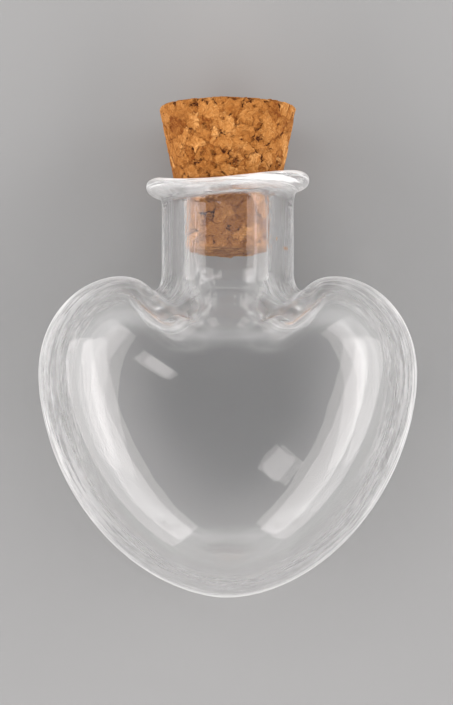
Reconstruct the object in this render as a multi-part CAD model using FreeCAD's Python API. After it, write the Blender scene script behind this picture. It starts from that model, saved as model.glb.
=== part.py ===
import FreeCAD, Part
import math
import os

# A small blown-glass vial in the shape of a heart, with a tapered stopper of agglomerated cork.
# Lengths are in millimetres. The vial is drawn along its own axis: the tip of the heart is at the
# origin, the neck points along +Y, the lobes lie along X and the front face looks along +Z. It is
# then laid down as it comes to rest on a table, on its belly and the edge of its lip, with the
# origin on the table under the middle of it.

# Outline of the body, outside, in the parting plane between its front and its back
HALF_WIDTH = 15.2  # from the axis to the widest point of a lobe
WIDEST_AT = 18.0  # height of that point above the tip
LOBE_TOP = 25.75  # height of the top of a lobe
LOBE_SPREAD = 8.5  # from the axis to the top of a lobe
NOTCH_SIDE = 5.5  # from the axis to the inner side of a lobe
NOTCH_FLOOR = 22.9  # height of the bottom of the notch between the lobes
NOTCH_FLAT = 0.8  # where the floor turns up into the side, as a share of NOTCH_SIDE
FLANK_POWER = 1.85  # 2 is an ellipse, 1 a straight side running to a pointed tip

# Section of the body
BODY_DEPTH = 17.0  # from front to back
BELLY_AT = 14.0  # height of the fullest point
SECTION_POWER = 2.15  # 2 is an ellipse, more makes the faces flatter
NOTCH_FADE = 3.0  # the more, the further the notch runs up the face

# Wall of the body
EDGE_WALL = 1.5  # at the sides of the heart
CROWN_WALL = 1.15  # at the top of a lobe
TIP_WALL = 1.1  # at the tip
FACE_WALL = 0.95  # in the middle of the front and the back
NOTCH_WALL = 1.6  # between the notch and the hollow of a lobe
NOTCH_WEB = 0.45  # under the floor of the notch

# Neck, mouth and lip
NECK_DIAMETER = 10.64
BORE_DIAMETER = 6.64
NECK_TOP = 33.3  # height of the end of the neck, in the middle of the lip
MOUTH_FLARE = 1.2  # radius of the rounding at the end of the bore
COLLAR_RISE = 1.7  # length of the flare below the lip
COLLAR_STEP = 0.45  # how far it widens the neck
COLLAR_BEND = 0.25  # share of that widening reached half way along the flare
LIP_DIAMETER = 13.3  # over the rolled lip
LIP_THICKNESS = 1.5  # along the axis
LIP_WIDTH = 2.1  # across the rolled edge, from inside to outside
LIP_TILT = 0.36  # rise of the lip from the middle to one side
LIP_RIPPLE = 0.08  # how far it flattens out again towards the sides
LIP_SAG = 0.75  # how far the mouth is lower in front
LIP_THINNING = 0.35  # how much thinner the lip is there

# Root of the neck: heights above the tip, and how far the neck has spread there to the sides and
# to the front and back. Outside it runs out into the faces of the body.
ROOT_SPREAD = (
    (26.2, 0.0, 0.0),
    (24.4, 0.54, 0.1),
    (23.3, 1.7, 0.5),
    (22.2, 3.3, 1.0),
    (20.5, 5.0, 1.8),
    (18.0, 6.2, 2.65),
)
# The same for the bore, from a start inside it. It opens early to the front and back, and late to
# the sides, where it leaves a thick knob of glass under each notch.
THROAT_SPREAD = (
    (26.6, -0.3, -0.3),
    (25.2, -0.04, 0.03),
    (24.0, 0.2, 0.3),
    (23.0, 0.7, 0.9),
    (22.0, 2.2, 1.65),
    (20.5, 4.2, 2.75),
    (18.0, 5.8, 3.6),
)

# Back
REST_FLAT = 0.1  # depth of the flats on the belly and the lip, on which the vial lies

# Stopper
STOPPER_TOP = 39.55  # height of its upper end
STOPPER_FOOT = 27.7  # height of its lower end, in the neck
STOPPER_TAPER = 11.5  # angle of the side to the axis, in degrees
STOPPER_SEAT = 79.2  # how far it follows the flare of the mouth before the taper starts, in degrees
STOPPER_EDGE = 0.25  # rounding of the edges at its ends
STOPPER_CLEARANCE = 0.05  # between the squeezed cork and the bore and mouth

# Fineness of the drawing
LEVELS = 7  # sections between the parting plane and one face
CAP_SHARE = 0.07  # the last of them, as a share of the outline
FLANK_STEPS = 8
LOBE_STEPS = 5
INNER_STEPS = 3
LIP_STATIONS = 24
OVAL_STATIONS = 16
FACET = 0.01  # for finding the points that the vial rests on

AXIS = FreeCAD.Vector(0, 1, 0)
ORIGIN = FreeCAD.Vector(0, 0, 0)
SIDEWAYS = FreeCAD.Vector(1, 0, 0)
NECK_RADIUS = NECK_DIAMETER / 2
BORE_RADIUS = BORE_DIAMETER / 2
FLARE_FOOT = NECK_TOP - MOUTH_FLARE
MOUTH_RADIUS = BORE_RADIUS + MOUTH_FLARE


def half_outline(half_width, lobe_top, notch_side, notch_floor, tip):
    """The right half of a heart, as (x, y) from the tip to the middle of the notch."""
    points = [(0.0, tip)]
    rise = WIDEST_AT - tip
    for step in range(1, FLANK_STEPS):
        angle = math.pi / 2 * step / FLANK_STEPS
        x = half_width * math.sin(angle) ** (2 / FLANK_POWER)
        y = WIDEST_AT - rise * math.cos(angle) ** (2 / FLANK_POWER)
        points.append((x, y))
    for step in range(LOBE_STEPS):
        angle = math.pi / 2 * step / LOBE_STEPS
        x = LOBE_SPREAD + (half_width - LOBE_SPREAD) * math.cos(angle)
        y = WIDEST_AT + (lobe_top - WIDEST_AT) * math.sin(angle)
        points.append((x, y))
    for step in range(INNER_STEPS):
        angle = math.pi / 2 * step / INNER_STEPS
        x = LOBE_SPREAD - (LOBE_SPREAD - notch_side) * math.sin(angle)
        y = notch_floor + (lobe_top - notch_floor) * math.cos(angle)
        points.append((x, y))
    points.append((notch_side * NOTCH_FLAT, notch_floor))
    points.append((0.0, notch_floor))
    return points


def heart_section(half, lobe_top, share, height):
    """A closed heart at one height above the parting plane, drawn smaller by the given share.

    Towards the face the notch is filled, so that the middle of the face is smooth.
    """
    fill = 1 - share ** NOTCH_FADE
    placed = []
    for index, (x, y) in enumerate(half):
        in_notch = index > FLANK_STEPS + LOBE_STEPS
        if in_notch:
            y = y + fill * (lobe_top - y)
        placed.append((x * share, BELLY_AT + (y - BELLY_AT) * share))
    mirrored = [(-x, y) for x, y in reversed(placed[1:-1])]
    points = [FreeCAD.Vector(x, y, height) for x, y in placed + mirrored]
    curve = Part.BSplineCurve()
    curve.interpolate(Points=points, PeriodicFlag=True)
    return Part.Wire([curve.toShape()])


def pillow(half, lobe_top, depth):
    """The heart as a solid with rounded front and back faces."""
    last = math.acos(CAP_SHARE)
    upper = []
    for level in range(1, LEVELS + 1):
        angle = last * level / LEVELS
        share = math.cos(angle) ** (2 / SECTION_POWER)
        height = depth / 2 * math.sin(angle) ** (2 / SECTION_POWER)
        upper.append((share, height))
    levels = [(share, -height) for share, height in reversed(upper)] + [(1.0, 0.0)] + upper
    return Part.makeLoft([heart_section(half, lobe_top, *level) for level in levels], True)


def turned(corners):
    """A solid turned about the axis.

    Each corner is (radius, height), or (radius, height, radius, height) where an arc leads to it
    through the second point.
    """
    edges = []
    for index, corner in enumerate(corners):
        end = FreeCAD.Vector(corner[0], corner[1], 0)
        before = corners[index - 1]
        start = FreeCAD.Vector(before[0], before[1], 0)
        if len(corner) == 4:
            through = FreeCAD.Vector(corner[2], corner[3], 0)
            edges.append(Part.Arc(start, through, end).toShape())
        else:
            edges.append(Part.makeLine(start, end))
    return Part.Face(Part.Wire(edges)).revolve(ORIGIN, AXIS, 360)


def neck_root():
    """The flared foot of the neck, spread to the sides and drawn out along the front and back."""
    sections = []
    for height, side, front in ROOT_SPREAD:
        center = FreeCAD.Vector(0, height, 0)
        if side > front:
            major = center + FreeCAD.Vector(NECK_RADIUS + side, 0, 0)
            minor = center + FreeCAD.Vector(0, 0, NECK_RADIUS + front)
            sections.append(Part.Wire([Part.Ellipse(major, minor, center).toShape()]))
        else:
            sections.append(Part.Wire([Part.Circle(center, AXIS, NECK_RADIUS).toShape()]))
    return Part.makeLoft(sections, True)


def spread_oval(height, across, deep):
    """A closed oval square to the axis, from its half widths to the side and to the front."""
    center = FreeCAD.Vector(0, height, 0)
    points = []
    for station in range(OVAL_STATIONS):
        angle = 2 * math.pi * station / OVAL_STATIONS
        points.append(center + FreeCAD.Vector(across * math.cos(angle), 0, deep * math.sin(angle)))
    curve = Part.BSplineCurve()
    curve.interpolate(Points=points, PeriodicFlag=True)
    return Part.Wire([curve.toShape()])


def throat():
    """The space in which the bore opens into the hollow of the body."""
    ovals = []
    for height, side, front in THROAT_SPREAD:
        ovals.append(spread_oval(height, BORE_RADIUS + side, BORE_RADIUS + front))
    return Part.makeLoft(ovals, True)


def neck_tube():
    """The outside of the neck, from its root to the middle of the lip."""
    foot = ROOT_SPREAD[0][0]
    collar_foot = NECK_TOP - COLLAR_RISE
    bend = (NECK_RADIUS + COLLAR_STEP * COLLAR_BEND, NECK_TOP - COLLAR_RISE / 2)
    tube = turned([
        (0, foot),
        (NECK_RADIUS, foot),
        (NECK_RADIUS, collar_foot),
        (NECK_RADIUS + COLLAR_STEP, NECK_TOP) + bend,
        (0, NECK_TOP),
    ])
    beyond = Part.makeBox(2 * LIP_DIAMETER, LIP_DIAMETER, 2 * LIP_DIAMETER, FreeCAD.Vector(
        -LIP_DIAMETER, NECK_TOP, -LIP_DIAMETER))
    lean = math.degrees(math.atan2(LIP_SAG, (LIP_DIAMETER - LIP_WIDTH) / 2))
    beyond.rotate(FreeCAD.Vector(0, NECK_TOP, 0), SIDEWAYS, lean)
    return tube.cut(beyond)


def lip_section(angle):
    """The oval section of the rolled lip, at an angle round the axis."""
    across = math.cos(angle)
    outward = FreeCAD.Vector(across, 0, math.sin(angle))
    front = max(0.0, math.sin(angle)) ** 1.5
    rise = LIP_TILT * across - LIP_RIPPLE * (4 * across ** 3 - 3 * across) - LIP_SAG * front
    center = outward * ((LIP_DIAMETER - LIP_WIDTH) / 2) + AXIS * (NECK_TOP + rise)
    side = center + outward * (LIP_WIDTH / 2)
    top = center + AXIS * ((LIP_THICKNESS - LIP_THINNING * front) / 2)
    return Part.Wire([Part.Ellipse(side, top, center).toShape()])


def rolled_lip():
    """The fire-polished edge of the mouth, which runs higher on one side than on the other."""
    angles = [2 * math.pi * station / LIP_STATIONS for station in range(LIP_STATIONS)]
    return Part.makeLoft([lip_section(angle) for angle in angles], True, False, True)


def passage():
    """The space of the bore and the flared mouth."""
    turn = MOUTH_FLARE * math.cos(math.pi / 4)
    return turned([
        (0, BELLY_AT),
        (BORE_RADIUS, BELLY_AT),
        (BORE_RADIUS, FLARE_FOOT),
        (MOUTH_RADIUS, NECK_TOP, MOUTH_RADIUS - turn, FLARE_FOOT + turn),
        (MOUTH_RADIUS, NECK_TOP + LIP_DIAMETER),
        (0, NECK_TOP + LIP_DIAMETER),
    ])


def make_glass():
    """The vial, blown and finished in one piece."""
    outside = half_outline(HALF_WIDTH, LOBE_TOP, NOTCH_SIDE, NOTCH_FLOOR, 0.0)
    inside = half_outline(
        HALF_WIDTH - EDGE_WALL, LOBE_TOP - CROWN_WALL, NOTCH_SIDE + NOTCH_WALL,
        NOTCH_FLOOR - NOTCH_WEB, TIP_WALL)
    body = pillow(outside, LOBE_TOP, BODY_DEPTH)
    hollow = pillow(inside, LOBE_TOP - CROWN_WALL, BODY_DEPTH - 2 * FACE_WALL)
    space = hollow.fuse(throat()).fuse(passage())
    return body.fuse([neck_root(), neck_tube(), rolled_lip()]).cut(space)


def make_stopper():
    """The cork: tapered above the lip, following the flare of the mouth, straight in the bore."""
    seat = MOUTH_FLARE + STOPPER_CLEARANCE
    angle = math.radians(STOPPER_SEAT)
    shoulder = (MOUTH_RADIUS - seat * math.cos(angle), FLARE_FOOT + seat * math.sin(angle))
    middle = (MOUTH_RADIUS - seat * math.cos(angle / 2), FLARE_FOOT + seat * math.sin(angle / 2))
    top_radius = shoulder[0] + (STOPPER_TOP - shoulder[1]) * math.tan(math.radians(STOPPER_TAPER))
    stopper = turned([
        (0, STOPPER_FOOT),
        (MOUTH_RADIUS - seat, STOPPER_FOOT),
        (MOUTH_RADIUS - seat, FLARE_FOOT),
        shoulder + middle,
        (top_radius, STOPPER_TOP),
        (0, STOPPER_TOP),
    ])
    ends = []
    for edge in stopper.Edges:
        box = edge.BoundBox
        if box.YMin > STOPPER_TOP - FACET or box.YMax < STOPPER_FOOT + FACET:
            ends.append(edge)
    return stopper.makeFillet(STOPPER_EDGE, ends)


def lowest(points, turn):
    """The lowest height of some points of the vial, once its neck is turned down."""
    return min(point.z * math.cos(turn) - point.y * math.sin(turn) for point in points)


def rest_turn(glass):
    """The angle at which the belly and the lip touch the table together."""
    points = glass.tessellate(FACET)[0]
    belly = [point for point in points if point.y < NOTCH_FLOOR]
    lip = [point for point in points if point.y > NECK_TOP - LIP_THICKNESS]
    low, high = 0.0, math.pi / 4
    while high - low > 1e-6:
        turn = (low + high) / 2
        if lowest(belly, turn) < lowest(lip, turn):
            low = turn
        else:
            high = turn
    return low


def laid_down(pieces, turn):
    """The pieces turned to rest on the table, with the origin under the middle of the vial.

    The glass reaches below the table by the depth of its flats, which are cut afterwards.
    """
    turned_down = FreeCAD.Placement(ORIGIN, FreeCAD.Rotation(SIDEWAYS, -math.degrees(turn)))
    points = []
    for piece in pieces:
        points += [turned_down.multVec(point) for point in piece.tessellate(FACET)[0]]
    middle = (min(point.y for point in points) + max(point.y for point in points)) / 2
    low = min(point.z for point in points) + REST_FLAT
    placement = FreeCAD.Placement(FreeCAD.Vector(0, -middle, -low), turned_down.Rotation)
    print("neck turned down by", round(math.degrees(turn), 3), "degrees, then moved by",
          round(-middle, 4), "along Y and", round(-low, 4), "up")
    return [piece.transformed(placement.toMatrix()) for piece in pieces]


def flattened(glass):
    """The glass with the flats on which it lies, level with the table."""
    corner = FreeCAD.Vector(-2 * HALF_WIDTH, -2 * NECK_TOP, -BODY_DEPTH)
    below_table = Part.makeBox(4 * HALF_WIDTH, 4 * NECK_TOP, BODY_DEPTH, corner)
    return glass.cut(below_table)


def main():
    glass = make_glass()
    stopper = make_stopper()
    glass, stopper = laid_down([glass, stopper], rest_turn(glass))
    os.makedirs("parts", exist_ok=True)
    flattened(glass).exportStep("parts/glass_vial.step")
    stopper.exportStep("parts/cork_stopper.step")


main()
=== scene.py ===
"""A small heart-shaped vial of blown glass with a cork stopper, lying on a pale table.

Lengths are in metres unless a name says millimetres. The camera looks straight down.
"""

import logging
import math
from dataclasses import dataclass, field
from enum import Enum

import bpy
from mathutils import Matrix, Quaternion, Vector


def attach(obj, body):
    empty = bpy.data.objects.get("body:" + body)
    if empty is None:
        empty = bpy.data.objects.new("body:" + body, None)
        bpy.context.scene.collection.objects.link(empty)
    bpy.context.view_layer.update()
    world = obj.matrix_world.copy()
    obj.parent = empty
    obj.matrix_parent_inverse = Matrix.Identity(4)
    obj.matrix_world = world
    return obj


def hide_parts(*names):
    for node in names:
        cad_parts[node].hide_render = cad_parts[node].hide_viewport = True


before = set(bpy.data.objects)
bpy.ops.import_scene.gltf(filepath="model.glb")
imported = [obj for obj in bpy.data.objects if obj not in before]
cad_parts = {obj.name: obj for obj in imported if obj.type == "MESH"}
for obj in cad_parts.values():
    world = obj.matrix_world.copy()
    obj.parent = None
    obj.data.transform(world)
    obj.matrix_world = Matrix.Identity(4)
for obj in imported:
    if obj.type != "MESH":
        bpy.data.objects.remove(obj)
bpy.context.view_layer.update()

MM = 0.001
LOG = logging.getLogger("vial")

# The vial's axis, from the tip of the heart to the neck, dips this far towards the table, and its
# parting plane passes 7.9 mm above the table at the origin. A pattern that is moved down by that
# and turned by the dip lies level with the vial's own axes.
NECK_DIP = math.radians(5.86)
REST_MOVE = (0.0, 0.0, -7.9 * MM)
# Corners of the frame's loose triangles that are nearer than this are one corner
WELD_DISTANCE = 0.002 * MM


class Side(Enum):
    """Which side of the vial a lamp hangs on, as the camera sees it."""

    LEFT = -1
    RIGHT = 1


def linear(hex_colour: str) -> tuple[float, float, float, float]:
    """Turn an sRGB colour into a linear one.

    Args:
        hex_colour: six hex digits, such as "c8945a".

    Returns:
        Red, green, blue and an alpha of 1.
    """
    channels = []
    for start in (0, 2, 4):
        value = int(hex_colour[start:start + 2], 16) / 255
        channels.append(value / 12.92 if value <= 0.04045 else ((value + 0.055) / 1.055) ** 2.4)
    return (*channels, 1.0)


def add_node(tree: bpy.types.NodeTree, kind: str, inputs: dict | None = None,
             **settings: object) -> bpy.types.Node:
    """Add a node with its settings and links.

    Args:
        tree: the node tree that takes it.
        kind: the node's type name.
        inputs: socket name or number to a value, or to an output socket that feeds it.
        settings: properties of the node itself.

    Returns:
        The node.
    """
    node = tree.nodes.new(kind)
    for name, value in settings.items():
        setattr(node, name, value)
    for name, value in (inputs or {}).items():
        if isinstance(value, bpy.types.NodeSocket):
            tree.links.new(value, node.inputs[name])
        else:
            node.inputs[name].default_value = value
    return node


def set_stops(node: bpy.types.Node, stops: list[tuple[float, tuple[float, ...]]]) -> None:
    """Give a colour ramp its row of stops.

    Args:
        node: the ramp.
        stops: places from 0 to 1, each with its linear colour.
    """
    elements = node.color_ramp.elements
    while len(elements) < len(stops):
        elements.new(0.5)
    for element, (place, colour) in zip(elements, stops):
        element.position = place
        element.color = colour


def new_material(name: str) -> tuple[bpy.types.Material, bpy.types.NodeTree, bpy.types.Node]:
    """Make a material with a bare Principled shader.

    Args:
        name: the finish's name.

    Returns:
        The material, its node tree and the shader node.
    """
    material = bpy.data.materials.new(name)
    material.use_nodes = True
    tree = material.node_tree
    tree.nodes.clear()
    shader = add_node(tree, "ShaderNodeBsdfPrincipled")
    add_node(tree, "ShaderNodeOutputMaterial", {"Surface": shader.outputs["BSDF"]})
    return material, tree, shader


def select_only(piece: bpy.types.Object) -> None:
    """Select one piece and make it the active one."""
    bpy.ops.object.select_all(action="DESELECT")
    piece.select_set(True)
    bpy.context.view_layer.objects.active = piece


def apply_modifier(piece: bpy.types.Object, kind: str, **settings: object) -> None:
    """Add a modifier with its settings and apply it to the mesh."""
    select_only(piece)
    modifier = piece.modifiers.new(kind.lower(), kind)
    for name, value in settings.items():
        setattr(modifier, name, value)
    bpy.ops.object.modifier_apply(modifier=modifier.name)


def copy_of_node(node: str, name: str) -> bpy.types.Object:
    """Copy a node of the frame as a new piece, with its loose triangles joined.

    Args:
        node: the node's name.
        name: the name of the new piece.

    Returns:
        The new piece, at the origin.
    """
    piece = bpy.data.objects.new(name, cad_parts[node].data.copy())
    bpy.context.scene.collection.objects.link(piece)
    piece.data.materials.clear()
    select_only(piece)
    bpy.ops.object.mode_set(mode="EDIT")
    bpy.ops.mesh.select_all(action="SELECT")
    bpy.ops.mesh.remove_doubles(threshold=WELD_DISTANCE)
    bpy.ops.mesh.customdata_custom_splitnormals_clear()
    bpy.ops.object.mode_set(mode="OBJECT")
    return piece


def even_out(piece: bpy.types.Object, voxel: float, rounds: int) -> None:
    """Give a piece small even faces and round its joints off.

    Args:
        piece: the piece.
        voxel: how large the faces are.
        rounds: how many times the faces are smoothed.
    """
    piece.data.remesh_voxel_size = voxel
    select_only(piece)
    bpy.ops.object.voxel_remesh()
    apply_modifier(piece, "SMOOTH", factor=0.5, iterations=rounds)


def shade_smooth(piece: bpy.types.Object) -> None:
    """Let the light run smoothly across a piece's faces."""
    select_only(piece)
    bpy.ops.object.shade_smooth()


@dataclass(frozen=True)
class BorosilicateGlass:
    """Clear glass tube, blown and worked in a flame: hard bright reflections and fine white streaks.

    Drawing the tube leaves soft flow marks. Folding and squeezing the hot glass at the edge of the
    heart and rolling it at the lip leave streaks full of fine bubbles, nearly white in the light.
    """

    tint: str = "ffffff"
    ior: float = 1.47
    roughness: float = 0.0
    # Light that the fine bloom on the glass scatters, strongest where it is seen at a slant
    haze: float = 1.0
    haze_roughness: float = 0.36
    flow_spacing: float = 2.6 * MM
    flow_depth: float = 0.016 * MM
    # Real streaks are finer: these are as coarse as they need to be to show
    streak_spacing: float = 0.4 * MM
    streak_length: float = 4.0 * MM
    streak_depth: float = 0.045 * MM
    # How white the bubbles make the streaks, and the levels of the noise where a streak begins and
    # is whitest; between the streaks this share of the white is left
    edge_milk: float = 1.0
    lip_milk: float = 0.75
    streak_levels: tuple[float, float] = (0.44, 0.57)
    least_white: float = 0.2
    # Height above or below the parting plane where the relief and the white fade out
    relief_fade: tuple[float, float] = (2.2 * MM, 4.4 * MM)
    milk_fade: tuple[float, float] = (1.0 * MM, 3.4 * MM)
    # Places along the vial: the tip of the heart, its end below the neck, and the lip
    tip_fade: tuple[float, float] = (-20.0 * MM, -9.0 * MM)
    heart_fade: tuple[float, float] = (2.0 * MM, 5.0 * MM)
    lip_start: tuple[float, float] = (11.2 * MM, 12.0 * MM)

    def make(self) -> bpy.types.Material:
        """Make the material."""
        material, tree, shader = new_material("borosilicate_glass")
        shader.inputs["Base Color"].default_value = linear(self.tint)
        shader.inputs["Roughness"].default_value = self.roughness
        shader.inputs["IOR"].default_value = self.ior
        shader.inputs["Sheen Weight"].default_value = self.haze
        shader.inputs["Sheen Roughness"].default_value = self.haze_roughness
        place = add_node(tree, "ShaderNodeTexCoord").outputs["Object"]
        flow = add_node(tree, "ShaderNodeTexNoise", {
            "Vector": place, "Scale": 1 / self.flow_spacing, "Detail": 1.0, "Roughness": 0.4})
        flowing = add_node(tree, "ShaderNodeBump", {
            "Height": flow.outputs["Fac"], "Strength": 1.0, "Distance": self.flow_depth})
        level = add_node(tree, "ShaderNodeMapping", {
            "Vector": place, "Location": REST_MOVE, "Rotation": (NECK_DIP, 0.0, 0.0)}).outputs["Vector"]
        masks = self.masks(tree, level)
        streaks = self.streaks(tree, level, masks["lip"])
        worked = add_node(tree, "ShaderNodeMath", {
            0: masks["edge"], 1: masks["lip"]}, operation="MAXIMUM")
        streaked = add_node(tree, "ShaderNodeBump", {
            "Strength": worked.outputs["Value"], "Height": streaks,
            "Distance": self.streak_depth, "Normal": flowing.outputs["Normal"]})
        tree.links.new(self.clearness(tree, masks, streaks), shader.inputs["Transmission Weight"])
        tree.links.new(streaked.outputs["Normal"], shader.inputs["Normal"])
        return material

    def masks(self, tree: bpy.types.NodeTree, level: bpy.types.NodeSocket) -> dict[str, bpy.types.NodeSocket]:
        """Add the masks that say where the glass was worked.

        Args:
            tree: the node tree.
            level: the position in the vial's own axes.

        Returns:
            The masks by name.
        """
        parts = add_node(tree, "ShaderNodeSeparateXYZ", {"Vector": level})
        along = parts.outputs["Y"]
        above = add_node(tree, "ShaderNodeMath", {0: parts.outputs["Z"]}, operation="ABSOLUTE").outputs["Value"]
        fades = {
            "edge": (above, self.relief_fade, (1.0, 0.0)),
            "edge_milk": (above, self.milk_fade, (self.edge_milk, 0.0)),
            "tip": (along, self.tip_fade, (0.0, 1.0)),
            "heart": (along, self.heart_fade, (1.0, 0.0)),
            "lip": (along, self.lip_start, (0.0, 1.0)),
            "lip_milk": (along, self.lip_start, (0.0, self.lip_milk))}
        return {name: add_node(tree, "ShaderNodeMapRange", {
            "Value": value, "From Min": start, "From Max": end, "To Min": first, "To Max": last},
            interpolation_type="SMOOTHSTEP").outputs["Result"]
            for name, (value, (start, end), (first, last)) in fades.items()}

    def streaks(self, tree: bpy.types.NodeTree, level: bpy.types.NodeSocket,
                lip: bpy.types.NodeSocket) -> bpy.types.NodeSocket:
        """Add the streaks: level along the edge of the heart, and round the neck at the lip.

        Args:
            tree: the node tree.
            level: the position in the vial's own axes.
            lip: the lip's mask.

        Returns:
            The noise, from 0 to 1.
        """
        long, fine = 1 / self.streak_length, 1 / self.streak_spacing
        run = add_node(tree, "ShaderNodeMix", {
            0: lip, 4: (long, long, fine), 5: (long, fine, long)}, data_type="VECTOR")
        thin = add_node(tree, "ShaderNodeVectorMath", {0: level, 1: run.outputs[1]}, operation="MULTIPLY")
        return add_node(tree, "ShaderNodeTexNoise", {
            "Vector": thin.outputs["Vector"], "Scale": 1.0, "Detail": 3.0, "Roughness": 0.6}).outputs["Fac"]

    def clearness(self, tree: bpy.types.NodeTree, masks: dict[str, bpy.types.NodeSocket],
                  streaks: bpy.types.NodeSocket) -> bpy.types.NodeSocket:
        """Add what the bubbles in the streaks leave of the glass's clearness.

        Args:
            tree: the node tree.
            masks: the masks by name.
            streaks: the streaks, from 0 to 1.

        Returns:
            The share of light that goes through, from 0 to 1.
        """
        milk = masks["edge_milk"]
        for name, operation in (("tip", "MULTIPLY"), ("heart", "MULTIPLY"), ("lip_milk", "MAXIMUM")):
            milk = add_node(tree, "ShaderNodeMath", {
                0: milk, 1: masks[name]}, operation=operation).outputs["Value"]
        white = add_node(tree, "ShaderNodeMapRange", {
            "Value": streaks, "From Min": self.streak_levels[0], "From Max": self.streak_levels[1],
            "To Min": self.least_white, "To Max": 1.0})
        lost = add_node(tree, "ShaderNodeMath", {0: milk, 1: white.outputs["Result"]}, operation="MULTIPLY")
        clear = add_node(tree, "ShaderNodeMath", {0: 1.0, 1: lost.outputs["Value"]}, operation="SUBTRACT")
        return clear.outputs["Value"]


@dataclass(frozen=True)
class AgglomeratedCork:
    """Granules of cork pressed together with a binder and turned.

    The eye sees angular matte chips, each cut at a slant of its own, dark seams between them, and
    a few pits where the granules leave a gap or one has broken out. The slant also lightens one side
    of each chip's colour and darkens the other: painted light and shade.
    """

    granule: float = 1.15 * MM
    grit: float = 0.4 * MM
    roughness: float = 0.85
    specular: float = 0.25
    # How far noise pushes a granule's outline about, and how many of the noise's bumps a granule has
    wander: float = 0.95 * MM
    wander_rate: float = 0.9
    tones: tuple[tuple[float, str], ...] = (
        (0.0, "82430c"), (0.2, "a26326"), (0.45, "b77636"), (0.7, "c98846"), (1.0, "e9aa66"))
    # How much the grit, and the slant as painted light and shade across each chip, add to a
    # granule's own tone, from 0 to 1, and the sums that the darkest and the lightest tone stand for
    grit_share: float = 3.2
    painted_slant_shade: float = 1.1
    tone_levels: tuple[float, float] = (1.2, 3.0)
    # Widths of seams and pits are in granules
    seam: str = "86480f"
    seam_width: float = 0.09
    seam_levels: tuple[float, float] = (0.4, 0.65)
    seam_strength: float = 0.9
    # Painted shade: the pits' dark brown stands for the shade that falls into the gaps between granules
    pit_shade: str = "5c2c0e"
    pit_spacing: float = 1.0 * MM
    pit_levels: tuple[float, float] = (0.5, 0.74)
    pit_width: float = 0.22
    pit_edge: float = 0.08
    # Relief in the shading: height of a granule's slant, and the grit's share of it
    lean_height: float = 0.3 * MM
    grit_relief: float = 0.9

    def granules(self, tree: bpy.types.NodeTree, position: bpy.types.NodeSocket) -> tuple:
        """Add the pattern of granules, the same for the shape and for the colour.

        Args:
            tree: a shader or geometry node tree.
            position: the position socket, in metres.

        Returns:
            The sockets of the pits, from 0 to 1, of the distance to the nearest seam, of each
            granule's random colour, and of the slant of its cut face, about -0.4 to 0.4.
        """
        middle = (0.5, 0.5, 0.5)
        wander = add_node(tree, "ShaderNodeTexNoise", {
            "Vector": position, "Scale": self.wander_rate / self.granule, "Detail": 5.0, "Roughness": 0.62})
        centred = add_node(tree, "ShaderNodeVectorMath", {
            0: wander.outputs["Color"], 1: middle}, operation="SUBTRACT")
        moved = add_node(tree, "ShaderNodeVectorMath", {
            0: centred.outputs["Vector"], 1: (self.wander * 2,) * 3, 2: position},
            operation="MULTIPLY_ADD").outputs["Vector"]
        grid = {"Vector": moved, "Scale": 1 / self.granule}
        seams = add_node(tree, "ShaderNodeTexVoronoi", grid, feature="DISTANCE_TO_EDGE")
        cells = add_node(tree, "ShaderNodeTexVoronoi", grid, feature="F1")
        away = add_node(tree, "ShaderNodeVectorMath", {
            0: moved, 1: cells.outputs["Position"]}, operation="SUBTRACT")
        facing = add_node(tree, "ShaderNodeVectorMath", {
            0: cells.outputs["Color"], 1: middle}, operation="SUBTRACT")
        along = add_node(tree, "ShaderNodeVectorMath", {
            0: away.outputs["Vector"], 1: facing.outputs["Vector"]}, operation="DOT_PRODUCT")
        slant = add_node(tree, "ShaderNodeMath", {
            0: along.outputs["Value"], 1: self.granule}, operation="DIVIDE")
        gaps = add_node(tree, "ShaderNodeTexNoise", {
            "Vector": position, "Scale": 1 / self.pit_spacing, "Detail": 3.0, "Roughness": 0.7})
        width = add_node(tree, "ShaderNodeMapRange", {
            "Value": gaps.outputs["Fac"], "From Min": self.pit_levels[0], "From Max": self.pit_levels[1],
            "To Min": 0.0, "To Max": self.pit_width})
        inside = add_node(tree, "ShaderNodeMath", {
            0: width.outputs["Result"], 1: seams.outputs["Distance"]}, operation="SUBTRACT")
        opening = add_node(tree, "ShaderNodeMapRange", {
            "Value": inside.outputs["Value"], "From Min": 0.0, "From Max": self.pit_edge},
            interpolation_type="SMOOTHSTEP")
        return (opening.outputs["Result"], seams.outputs["Distance"], cells.outputs["Color"],
                slant.outputs["Value"])

    def make(self) -> bpy.types.Material:
        """Make the material."""
        material, tree, shader = new_material("agglomerated_cork")
        place = add_node(tree, "ShaderNodeTexCoord").outputs["Object"]
        opening, seam, cell, slant = self.granules(tree, place)
        grit = add_node(tree, "ShaderNodeTexNoise", {
            "Vector": place, "Scale": 1 / self.grit, "Detail": 4.0, "Roughness": 0.7, "Distortion": 1.2})
        chips = self.chips(tree, cell, slant, grit.outputs["Fac"])
        shown = self.shown_seams(tree, place, seam)
        seamed = add_node(tree, "ShaderNodeMix", {0: shown, 6: chips, 7: linear(self.seam)}, data_type="RGBA")
        # Painted shade is laid over the chips and seams where the pits open
        colour = add_node(tree, "ShaderNodeMix", {
            0: opening, 6: seamed.outputs[2], 7: linear(self.pit_shade)}, data_type="RGBA")
        tree.links.new(colour.outputs[2], shader.inputs["Base Color"])
        relief = add_node(tree, "ShaderNodeMath", {
            0: grit.outputs["Fac"], 1: self.grit_relief, 2: slant}, operation="MULTIPLY_ADD")
        bump = add_node(tree, "ShaderNodeBump", {
            "Height": relief.outputs["Value"], "Strength": 1.0, "Distance": self.lean_height})
        tree.links.new(bump.outputs["Normal"], shader.inputs["Normal"])
        shader.inputs["Roughness"].default_value = self.roughness
        shader.inputs["Specular IOR Level"].default_value = self.specular
        return material

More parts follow.
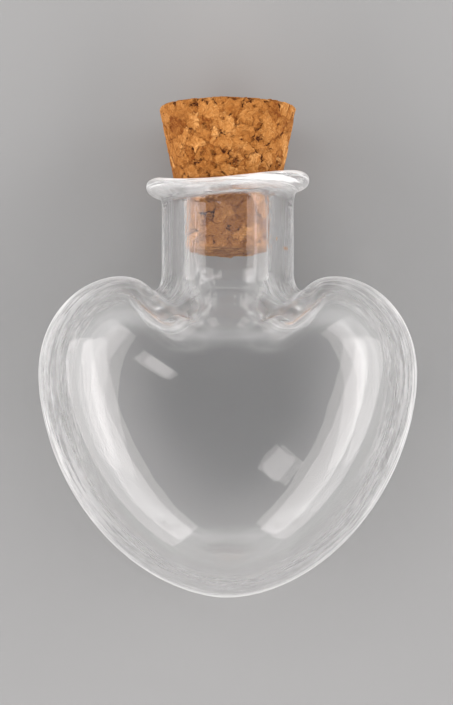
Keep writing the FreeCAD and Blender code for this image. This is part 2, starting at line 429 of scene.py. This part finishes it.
    def chips(self, tree: bpy.types.NodeTree, cell: bpy.types.NodeSocket, slant: bpy.types.NodeSocket,
              grit: bpy.types.NodeSocket) -> bpy.types.NodeSocket:
        """Add the colour of the granules, with painted light and shade from each chip's slant.

        Args:
            tree: the node tree.
            cell: each granule's random colour.
            slant: the slant of its cut face.
            grit: the fine grit on it.

        Returns:
            The colour socket.
        """
        own = add_node(tree, "ShaderNodeSeparateColor", {"Color": cell}).outputs["Red"]
        mixed = add_node(tree, "ShaderNodeMath", {
            0: grit, 1: self.grit_share, 2: own}, operation="MULTIPLY_ADD")
        # Painted light and shade: the chip's slant lightens one side of its face and darkens the other
        painted_lit_tone = add_node(tree, "ShaderNodeMath", {
            0: slant, 1: self.painted_slant_shade, 2: mixed.outputs["Value"]}, operation="MULTIPLY_ADD")
        tone = add_node(tree, "ShaderNodeMapRange", {
            "Value": painted_lit_tone.outputs["Value"], "From Min": self.tone_levels[0], "From Max": self.tone_levels[1]})
        colours = add_node(tree, "ShaderNodeValToRGB", {"Fac": tone.outputs["Result"]})
        set_stops(colours, [(place, linear(colour)) for place, colour in self.tones])
        return colours.outputs["Color"]

    def shown_seams(self, tree: bpy.types.NodeTree, place: bpy.types.NodeSocket,
                    seam: bpy.types.NodeSocket) -> bpy.types.NodeSocket:
        """Add the dark seams, which are darkest where the binder lies open, and fade out between.

        Args:
            tree: the node tree.
            place: the position.
            seam: the distance to the nearest seam.

        Returns:
            The share of the seam's colour, from 0 to 1.
        """
        patches = add_node(tree, "ShaderNodeTexNoise", {
            "Vector": place, "Scale": 1 / self.granule, "Detail": 2.0})
        depth = add_node(tree, "ShaderNodeMapRange", {
            "Value": patches.outputs["Fac"], "From Min": self.seam_levels[0], "From Max": self.seam_levels[1],
            "To Min": 0.0, "To Max": self.seam_strength})
        line = add_node(tree, "ShaderNodeMapRange", {
            "Value": seam, "From Min": 0.0, "From Max": self.seam_width, "To Min": 1.0, "To Max": 0.0},
            interpolation_type="SMOOTHSTEP")
        return add_node(tree, "ShaderNodeMath", {
            0: line.outputs["Result"], 1: depth.outputs["Result"]}, operation="MULTIPLY").outputs["Value"]


@dataclass
class GlassVial:
    """The vial: heart-shaped body, neck and rolled lip in one piece of glass."""

    node: str = "glass_vial"
    body: str = "vial"
    voxel: float = 0.25 * MM
    smoothing: int = 12
    finish: BorosilicateGlass = field(default_factory=BorosilicateGlass)

    def build(self) -> bpy.types.Object:
        """Blow the vial over the shape of the frame, round its joints off as fire does, and dress it.

        Returns:
            The finished piece.
        """
        piece = copy_of_node(self.node, "blown_glass")
        even_out(piece, self.voxel, self.smoothing)
        shade_smooth(piece)
        piece.data.materials.append(self.finish.make())
        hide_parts(self.node)
        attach(piece, self.body)
        return piece


@dataclass
class CorkStopper:
    """The tapered stopper, turned from pressed cork."""

    node: str = "cork_stopper"
    body: str = "stopper"
    voxel: float = 0.1 * MM
    smoothing: int = 3
    # Depths of the relief that is cut into the mesh, and the width of a seam's groove in granules
    seam_depth: float = 0.03 * MM
    groove_width: float = 0.12
    pit_depth: float = 0.16 * MM
    chip_depth: float = 0.14 * MM
    finish: AgglomeratedCork = field(default_factory=AgglomeratedCork)

    def build(self) -> bpy.types.Object:
        """Turn the stopper, open its seams and dress it.

        Returns:
            The finished piece.
        """
        piece = copy_of_node(self.node, "pressed_cork")
        even_out(piece, self.voxel, self.smoothing)
        self.open_seams(piece)
        shade_smooth(piece)
        piece.data.materials.append(self.finish.make())
        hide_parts(self.node)
        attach(piece, self.body)
        return piece

    def open_seams(self, piece: bpy.types.Object) -> None:
        """Sink the seams and pits between the granules into the surface, and tilt their cut faces."""
        tree = bpy.data.node_groups.new("granule_relief", "GeometryNodeTree")
        for way in ("INPUT", "OUTPUT"):
            tree.interface.new_socket("Geometry", in_out=way, socket_type="NodeSocketGeometry")
        source = add_node(tree, "NodeGroupInput")
        position = add_node(tree, "GeometryNodeInputPosition").outputs["Position"]
        opening, seam, _, slant = self.finish.granules(tree, position)
        groove = add_node(tree, "ShaderNodeMapRange", {
            "Value": seam, "From Min": 0.0, "From Max": self.groove_width,
            "To Min": -self.seam_depth, "To Max": 0.0}, interpolation_type="SMOOTHSTEP")
        chipped = add_node(tree, "ShaderNodeMath", {
            0: slant, 1: self.chip_depth, 2: groove.outputs["Result"]}, operation="MULTIPLY_ADD")
        depth = add_node(tree, "ShaderNodeMath", {
            0: opening, 1: -self.pit_depth, 2: chipped.outputs["Value"]}, operation="MULTIPLY_ADD")
        normal = add_node(tree, "GeometryNodeInputNormal").outputs["Normal"]
        offset = add_node(tree, "ShaderNodeVectorMath", {
            0: normal, "Scale": depth.outputs["Value"]}, operation="SCALE")
        shaped = add_node(tree, "GeometryNodeSetPosition", {
            "Geometry": source.outputs[0], "Offset": offset.outputs["Vector"]})
        add_node(tree, "NodeGroupOutput", {0: shaped.outputs["Geometry"]})
        apply_modifier(piece, "NODES", node_group=tree)


@dataclass(frozen=True)
class SoftBox:
    """A flat lamp with an even white front. Its angles are in degrees, as seen from the vial."""

    name: str
    side: Side
    radiance: float
    # Elevation of its lower and upper edge
    low: float
    high: float
    # How far it reaches round towards the tip of the heart, and towards the neck
    back: float
    ahead: float
    # How much higher it hangs at the end beyond the tip of the heart than beside the neck
    tilt: float = 12.0
    distance: float = 0.7
    colour: str = "fffaf9"

    def hang(self) -> None:
        """Hang the lamp beside the vial, turned towards it and out of the camera's sight."""
        middle = math.radians((self.low + self.high) / 2)
        turn = math.radians((self.back + self.ahead) / 2)
        toward = Vector((
            self.side.value * math.cos(middle) * math.cos(turn),
            math.cos(middle) * math.sin(turn),
            math.sin(middle)))
        lamp = bpy.data.lights.new(self.name, "AREA")
        lamp.shape = "RECTANGLE"
        lamp.color = linear(self.colour)[:3]
        lamp.size = 2 * self.distance * math.tan(math.radians((self.ahead - self.back) / 2)) * math.cos(middle)
        lamp.size_y = 2 * self.distance * math.tan(math.radians((self.high - self.low) / 2))
        lamp.energy = self.radiance * math.pi * lamp.size * lamp.size_y
        box = bpy.data.objects.new(self.name, lamp)
        box.location = toward * self.distance
        tilt = Quaternion((0, 0, 1), -self.side.value * math.radians(self.tilt))
        box.rotation_euler = (toward.to_track_quat("Z", "Y") @ tilt).to_euler()
        box.visible_camera = False
        bpy.context.scene.collection.objects.link(box)


@dataclass
class Studio:
    """A pale table between two soft boxes, seen from straight above."""

    # The card is grey out to the first distance, and the table has its own tone from the second
    card_colour: str = "9b9b9b"
    table_colour: str = "c6c5c4"
    card_edge: tuple[float, float] = (34 * MM, 56 * MM)
    # The card is longer than wide, and its middle lies this far towards the tip of the heart
    card_squash: float = 0.78
    card_reach: float = 9 * MM
    paper_roughness: float = 0.9
    table_size: float = 6.0
    # The small window's image lies between the left box's and the neck
    boxes: tuple[SoftBox, ...] = (
        SoftBox("left_soft_box", Side.LEFT, 3.1, 13, 44, -60, 34),
        SoftBox("right_soft_box", Side.RIGHT, 3.1, 21, 49, -58, 38),
        SoftBox("left_window", Side.LEFT, 3.4, 50, 64, 44, 58))
    # Light from the walls of the room: sine of the elevation, and the level there
    walls: tuple[tuple[float, float], ...] = (
        (0.0, 0.85), (0.12, 0.95), (0.28, 2.4), (0.45, 1.0), (0.65, 0.45), (1.0, 0.72))
    # How much brighter the wall beyond the neck is than their mean, and the one beyond the tip dimmer
    walls_slope: float = 0.25
    camera_height: float = 0.309
    frame_height: float = 56.4 * MM
    sharp_height: float = 9.0 * MM
    aim: tuple[float, float] = (-0.1 * MM, -0.38 * MM)

    def build(self) -> None:
        """Set up the table, the lights and the camera."""
        self.lay_table()
        for box in self.boxes:
            box.hang()
        self.light_room()
        self.place_camera()

    def lay_table(self) -> None:
        """Lay the vial's grey card on a paler table."""
        bpy.ops.object.select_all(action="DESELECT")
        bpy.ops.mesh.primitive_plane_add(size=self.table_size)
        table = bpy.context.active_object
        table.name = "table_top"
        material, tree, shader = new_material("matte_paper")
        place = add_node(tree, "ShaderNodeTexCoord").outputs["Object"]
        centred = add_node(tree, "ShaderNodeMapping", {
            "Vector": place, "Location": (0.0, self.card_reach * self.card_squash, 0.0),
            "Scale": (1.0, self.card_squash, 1.0)})
        away = add_node(tree, "ShaderNodeVectorMath", {0: centred.outputs["Vector"]}, operation="LENGTH")
        edge = add_node(tree, "ShaderNodeMapRange", {
            "Value": away.outputs["Value"], "From Min": self.card_edge[0], "From Max": self.card_edge[1]},
            interpolation_type="SMOOTHSTEP")
        colour = add_node(tree, "ShaderNodeMix", {
            0: edge.outputs["Result"], 6: linear(self.card_colour), 7: linear(self.table_colour)},
            data_type="RGBA")
        tree.links.new(colour.outputs[2], shader.inputs["Base Color"])
        shader.inputs["Roughness"].default_value = self.paper_roughness
        shader.inputs["Specular IOR Level"].default_value = 0.0
        table.data.materials.append(material)

    def light_room(self) -> None:
        """Fill the room with soft light that is brightest on the walls and dim above the camera."""
        world = bpy.data.worlds.new("room")
        bpy.context.scene.world = world
        world.use_nodes = True
        tree = world.node_tree
        tree.nodes.clear()
        direction = add_node(tree, "ShaderNodeTexCoord").outputs["Generated"]
        parts = add_node(tree, "ShaderNodeSeparateXYZ", {"Vector": direction})
        brightest = max(level for _, level in self.walls)
        fade = add_node(tree, "ShaderNodeValToRGB", {"Fac": parts.outputs["Z"]})
        set_stops(fade, [(place, (*(level / brightest,) * 3, 1.0)) for place, level in self.walls])
        slope = add_node(tree, "ShaderNodeMapRange", {
            "Value": parts.outputs["Y"], "From Min": -1.0, "From Max": 1.0,
            "To Min": brightest * (1 - self.walls_slope), "To Max": brightest * (1 + self.walls_slope)})
        air = add_node(tree, "ShaderNodeBackground", {
            "Color": fade.outputs["Color"], "Strength": slope.outputs["Result"]})
        add_node(tree, "ShaderNodeOutputWorld", {"Surface": air.outputs["Background"]})

    def place_camera(self) -> None:
        """Put the camera straight above the vial, with the neck at the top of the picture."""
        data = bpy.data.cameras.new("camera")
        distance = self.camera_height - self.sharp_height
        data.lens = data.sensor_width / 2 / (self.frame_height / 2 / distance)
        data.clip_start = 0.01
        data.clip_end = 20.0
        camera = bpy.data.objects.new("camera", data)
        camera.location = (*self.aim, self.camera_height)
        bpy.context.scene.collection.objects.link(camera)
        bpy.context.scene.camera = camera


def let_light_through() -> None:
    """Follow light through as many faces of glass as a thick edge sends it across."""
    cycles = bpy.context.scene.cycles
    cycles.max_bounces = 32
    cycles.glossy_bounces = 16
    cycles.transmission_bounces = 24


def main() -> None:
    """Build the vial, its stopper and the studio."""
    logging.basicConfig(level=logging.INFO, format="%(name)s: %(message)s")
    bpy.context.scene.view_settings.view_transform = "Standard"
    for part in (GlassVial(), CorkStopper()):
        piece = part.build()
        LOG.info("%s: %d faces, on %s", piece.name, len(piece.data.polygons), part.body)
    Studio().build()
    let_light_through()


if __name__ == "__main__":
    main()
